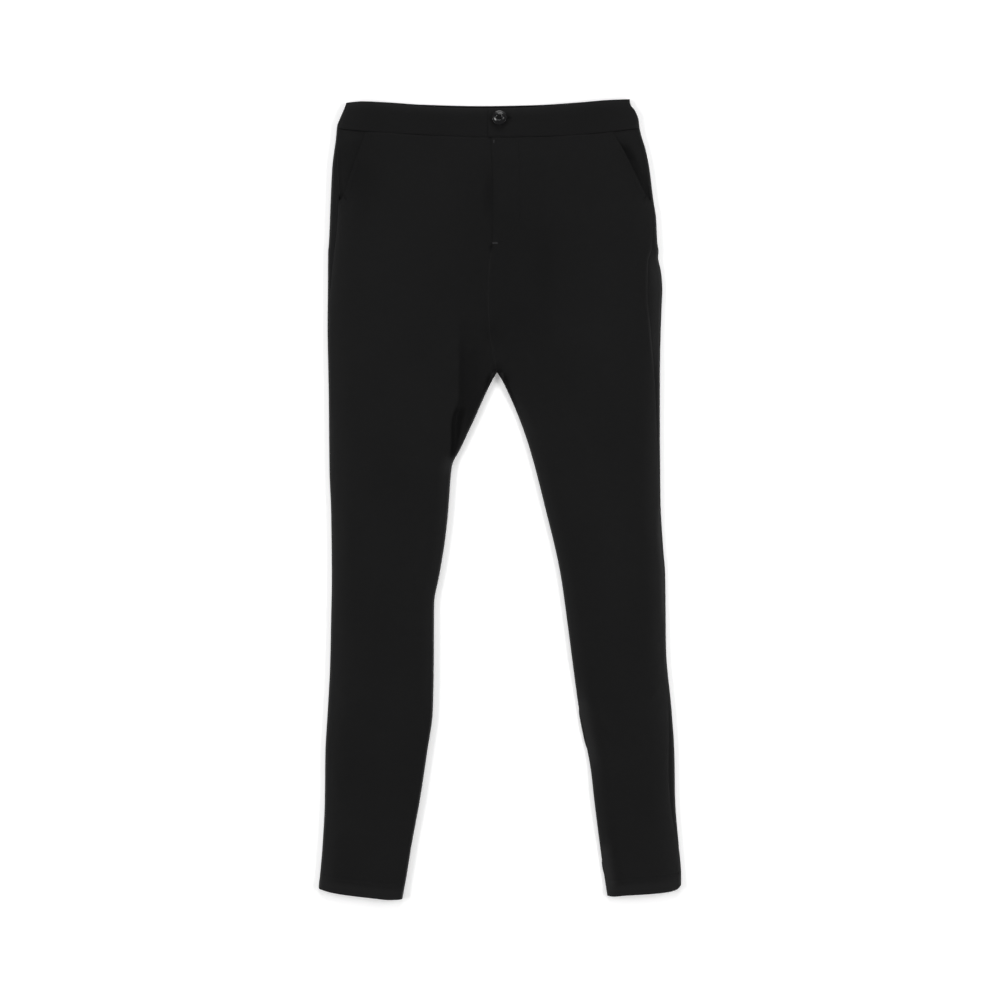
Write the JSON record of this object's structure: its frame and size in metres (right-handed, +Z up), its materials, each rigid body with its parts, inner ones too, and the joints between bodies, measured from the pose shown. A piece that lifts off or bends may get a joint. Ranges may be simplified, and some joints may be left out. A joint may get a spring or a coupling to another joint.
{
  "type": "skinny leggings trousers",
  "caption": "Black skinny stretch trousers with a buttoned waistband, fly front and slanted front pockets, laid flat with the front up.",
  "frame": {"origin": "the middle of the surface that the trousers lie on, under the middle of their bounding box", "axes": "+Y towards the waist, +Z up from the surface, +X towards the wearer's left leg"},
  "size_m": [0.4529, 0.9998, 0.0105],
  "materials": {
    "cloth": "matt black double-knit stretch cloth",
    "waistband": "the same cloth, interlined and pressed",
    "facing": "the same cloth, in the pocket mouths",
    "button": "glossy black, dished"
  },
  "bodies": {
    "root": {"front_right": "cloth", "front_left": "cloth", "back_right": "cloth", "back_left": "cloth", "pocket_facing_right": "facing", "pocket_facing_left": "facing", "waistband_back": "waistband", "waistband_front_right": "waistband", "waistband_front_left": "waistband", "button": "button"}
  },
  "joints": []
}
